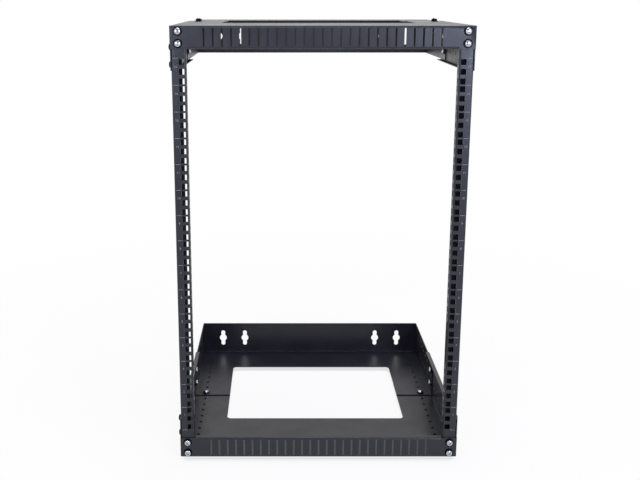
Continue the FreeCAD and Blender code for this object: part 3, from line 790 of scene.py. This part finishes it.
def numberMesh(number):
    # flat figures a hair in front of the post, made a mesh before they are placed
    curve = bpy.data.curves.new("figure%d" % number, "FONT")
    curve.body = str(number)
    curve.size = markSet["numberSize"]
    curve.align_x = "CENTER"
    curve.align_y = "CENTER"
    curve.extrude = markSet["inkThickness"] / 2
    curve.resolution_u = markSet["numberSteps"]
    figure = bpy.data.objects.new(curve.name, curve)
    scene.collection.objects.link(figure)
    graph = bpy.context.evaluated_depsgraph_get()
    mesh = bpy.data.meshes.new_from_object(figure.evaluated_get(graph))
    bpy.data.objects.remove(figure)
    return mesh


topOfUnits = markSet["units"] * markSet["unitPitch"] / 2
inkFront = postFront - markSet["inkThickness"] / 2
upright = Matrix.Rotation(math.pi / 2, 4, "X")
figures = {number: numberMesh(number) for number in range(1, markSet["units"] + 1)}
for sideName, side in (("left", -1), ("right", 1)):
    rule = linkMesh(sideName + "UnitLines", bpy.data.meshes.new(sideName + "UnitLines"))
    addTree(rule, ruled, ruleKeys, {
        "First Line": (markSet["offset"] * side, inkFront, topOfUnits),
        "Line Step": (0.0, 0.0, -markSet["unitPitch"]), "Lines": markSet["units"] + 1,
        "Line Size": (markSet["lineLength"], markSet["inkThickness"], markSet["lineHeight"]),
        "Finish": printInk})
    settle(rule)
    build = bmesh.new()
    for number, mesh in figures.items():
        drop = (markSet["units"] - number) * markSet["unitPitch"] + markSet["numberDrop"]
        spot = Vector((markSet["offset"] * side, inkFront, topOfUnits - drop))
        placed = mesh.copy()
        placed.transform(Matrix.Translation(spot) @ upright)
        build.from_mesh(placed)
    bmesh.ops.remove_doubles(build, verts=build.verts, dist=1e-7)
    numbers = linkMesh(sideName + "UnitNumbers", meshFrom(build, sideName + "UnitNumbers"))
    numbers.data.materials.append(printInk)
    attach(numbers, "front_frame")
print("unit marks printed")

# Studio, in metres: a white floor that keeps a faint shadow, a white room for reflections and soft lamps
studioSet = {
    "floorReach": 9.0,
    "floorShadow": 0.13,
    "shadowReach": (0.3, 1.4),     # from full shadow to clean paper
    "coverReach": 0.03,            # how near a sheet shades the paper
    "coverRays": 12,
    "coverOpen": (0.36, 0.50),     # how open the sky over the paper is: painted shade below, clean above
    # the share of the painted shade that the paper gets close under any sheet, away from the rows
    "contactShade": 0.2,
    "rowHalf": (0.006, 0.014),     # half the strip of painted shade under a row of depth holes, and its soft edge
    "rowFront": (0.03, 0.06),      # the strip begins so far behind the lip
    "rowBack": (-0.022, -0.006),   # and ends before the wall
    "rowPaintedShade": "#2c2c30",          # the painted shade: the paper's colour is painted this dark there
    "roomLight": 0.20,
    "frontGloss": 0.50,            # what the satin faces mirror: a dimmer room in front, white behind
    "floorGloss": 0.64,
    "ceilingGloss": 0.35,
    "floorTurn": (-0.6, 0.2),      # where the floor turns from dim to white, along Y
    "roomTurn": (-0.35, 0.35),
    "ceilingTurn": (0.55, 0.90),
    "lamps": {
        "keyRight": {"place": (0.85, -2.05, 0.52), "aim": (0.2, -0.4, 0.28), "size": 0.6,
                     "watts": 19.0, "tint": "#d6e0ff"},
        "fillLeft": {"place": (-0.85, -1.95, 0.52), "aim": (-0.15, -0.4, 0.25), "size": 0.6,
                     "watts": 10.0, "tint": "#d6e0ff"},
        "topSheet": {"place": (0.1, 0.0, 2.2), "aim": (0.0, -0.25, 0.2), "size": 1.6,
                     "watts": 51.0, "tint": "#f7f1ff"},
    },
}
reach = studioSet["floorReach"]
floorZ = cadBox[0].z
build = bmesh.new()
corners = [(-reach, -reach), (reach, -reach), (reach, reach), (-reach, reach)]
build.faces.new([build.verts.new((x, y, floorZ)) for x, y in corners])
studioFloor = linkMesh("studioFloor", meshFrom(build, "studioFloor"))

# Matt white paper: to the eye pure white, with a faint shadow round the rack. Close under a sheet its
# glow is lowered and its colour is painted a little darker, a painted shade; under the rows of depth
# holes its colour is painted dark, a painted shade.
whitePaper, tree = newTree("whitePaper")
rays = addNode(tree, "ShaderNodeLightPath")
paperPlace = addNode(tree, "ShaderNodeTexCoord").outputs["Object"]
paperAxes = addNode(tree, "ShaderNodeSeparateXYZ", None, {"Vector": paperPlace})
near = addNode(tree, "ShaderNodeVectorMath", {"operation": "LENGTH"}, {0: paperPlace})
covered = addNode(tree, "ShaderNodeAmbientOcclusion", {
    "samples": studioSet["coverRays"], "Distance": studioSet["coverReach"]})
sideways = addNode(tree, "ShaderNodeMath", {"operation": "ABSOLUTE"}, {0: paperAxes.outputs["X"]})
fromRow = addNode(tree, "ShaderNodeMath", {"operation": "SUBTRACT", 1: sheetSet["floorRow"]}, {
    0: sideways.outputs[0]})
rowDistance = addNode(tree, "ShaderNodeMath", {"operation": "ABSOLUTE"}, {0: fromRow.outputs[0]})
rowFront = [lipFace + margin for margin in studioSet["rowFront"]]
softTurns = {
    "gloss": (studioSet["floorTurn"], studioSet["floorGloss"], 1.0, paperAxes.outputs["Y"]),
    "away": (studioSet["shadowReach"], 1.0 - studioSet["floorShadow"], 1.0, near.outputs["Value"]),
    "cover": (studioSet["coverOpen"], 1.0, 0.0, covered.outputs["AO"]),
    "underRow": (studioSet["rowHalf"], 1.0, studioSet["contactShade"], rowDistance.outputs[0]),
    "behindLip": (rowFront, 0.0, 1.0, paperAxes.outputs["Y"]),
    "beforeWall": (studioSet["rowBack"], 1.0, 0.0, paperAxes.outputs["Y"]),
}
turned = {}                        # each value turns softly from low to high between its ends
for label, (ends, low, high, value) in softTurns.items():
    turned[label] = addNode(tree, "ShaderNodeMapRange", {
        "interpolation_type": "SMOOTHSTEP", "From Min": ends[0], "From Max": ends[1],
        "To Min": low, "To Max": high}, {"Value": value}).outputs["Result"]
paperGloss = addNode(tree, "ShaderNodeMath", {"operation": "MULTIPLY"}, {
    0: rays.outputs["Is Glossy Ray"], 1: turned["gloss"]})
seen = addNode(tree, "ShaderNodeMath", {"operation": "MAXIMUM"}, {
    0: rays.outputs["Is Camera Ray"], 1: paperGloss.outputs[0]})
seenThrough = addNode(tree, "ShaderNodeMath", {"operation": "MAXIMUM"}, {
    0: seen.outputs[0], 1: rays.outputs["Is Transmission Ray"]})
underTray = addNode(tree, "ShaderNodeMath", {"operation": "MULTIPLY"}, {
    0: turned["behindLip"], 1: turned["beforeWall"]})
rowShade = addNode(tree, "ShaderNodeMix", {"data_type": "FLOAT", 2: studioSet["contactShade"]}, {
    0: underTray.outputs[0], 3: turned["underRow"]})
shade = addNode(tree, "ShaderNodeMath", {"operation": "MULTIPLY"}, {
    0: turned["cover"], 1: rowShade.outputs[0]})
unshaded = addNode(tree, "ShaderNodeMath", {"operation": "SUBTRACT", 0: 1.0}, {1: shade.outputs[0]})
whiteness = addNode(tree, "ShaderNodeMath", {"operation": "MULTIPLY"}, {
    0: unshaded.outputs[0], 1: turned["away"]})
share = addNode(tree, "ShaderNodeMath", {"operation": "MULTIPLY"}, {
    0: seenThrough.outputs[0], 1: whiteness.outputs[0]})
# painted shade: the paper's colour is painted toward the dark tone wherever the shade mask is high
paintedShadePaper = addNode(tree, "ShaderNodeMix", {
    "data_type": "RGBA", 6: linear("#ffffff"), 7: linear(studioSet["rowPaintedShade"])}, {0: shade.outputs[0]})
paper = addNode(tree, "ShaderNodeBsdfDiffuse", None, {"Color": paintedShadePaper.outputs[2]})
glow = addNode(tree, "ShaderNodeEmission", {"Color": linear("#ffffff"), "Strength": 1.0})
mixed = addNode(tree, "ShaderNodeMixShader", None, {
    0: share.outputs[0], 1: paper.outputs["BSDF"], 2: glow.outputs["Emission"]})
addNode(tree, "ShaderNodeOutputMaterial", None, {"Surface": mixed.outputs["Shader"]})
studioFloor.data.materials.append(whitePaper)

room = bpy.data.worlds.new("studioRoom")
scene.world = room
room.use_nodes = True
tree = room.node_tree
tree.nodes.clear()
rays = addNode(tree, "ShaderNodeLightPath")
seen = addNode(tree, "ShaderNodeMath", {"operation": "MAXIMUM"}, {
    0: rays.outputs["Is Camera Ray"], 1: rays.outputs["Is Transmission Ray"]})
way = addNode(tree, "ShaderNodeSeparateXYZ", None, {
    "Vector": addNode(tree, "ShaderNodeTexCoord").outputs["Generated"]})
frontEnd, backEnd = studioSet["roomTurn"]
behind = addNode(tree, "ShaderNodeMapRange", {
    "interpolation_type": "SMOOTHSTEP", "From Min": frontEnd, "From Max": backEnd,
    "To Min": studioSet["frontGloss"], "To Max": 1.0}, {"Value": way.outputs["Y"]})
lowEnd, highEnd = studioSet["ceilingTurn"]
overhead = addNode(tree, "ShaderNodeMapRange", {
    "interpolation_type": "SMOOTHSTEP", "From Min": lowEnd, "From Max": highEnd,
    "To Min": 1.0, "To Max": studioSet["ceilingGloss"]}, {"Value": way.outputs["Z"]})
allRound = addNode(tree, "ShaderNodeMath", {"operation": "MULTIPLY"}, {
    0: behind.outputs["Result"], 1: overhead.outputs["Result"]})
mirrored = addNode(tree, "ShaderNodeMix", {"data_type": "FLOAT", 2: studioSet["roomLight"]}, {
    0: rays.outputs["Is Glossy Ray"], 3: allRound.outputs[0]})
strength = addNode(tree, "ShaderNodeMix", {"data_type": "FLOAT", 3: 1.0}, {
    0: seen.outputs[0], 2: mirrored.outputs[0]})
sky = addNode(tree, "ShaderNodeBackground", {"Color": linear("#ffffff")}, {
    "Strength": strength.outputs[0]})
addNode(tree, "ShaderNodeOutputWorld", None, {"Surface": sky.outputs["Background"]})
for lampName, lampSet in studioSet["lamps"].items():
    lampData = bpy.data.lights.new(lampName, "AREA")
    lampData.shape = "SQUARE"
    lampData.size = lampSet["size"]
    lampData.energy = lampSet["watts"]
    lampData.color = linear(lampSet["tint"])[:3]
    lamp = bpy.data.objects.new(lampName, lampData)
    lamp.location = lampSet["place"]
    aim = Vector(lampSet["aim"]) - Vector(lampSet["place"])
    lamp.rotation_euler = aim.to_track_quat("-Z", "Y").to_euler()
    lamp.visible_camera = False
    scene.collection.objects.link(lamp)
scene.view_settings.view_transform = "Standard"
print("studio set")
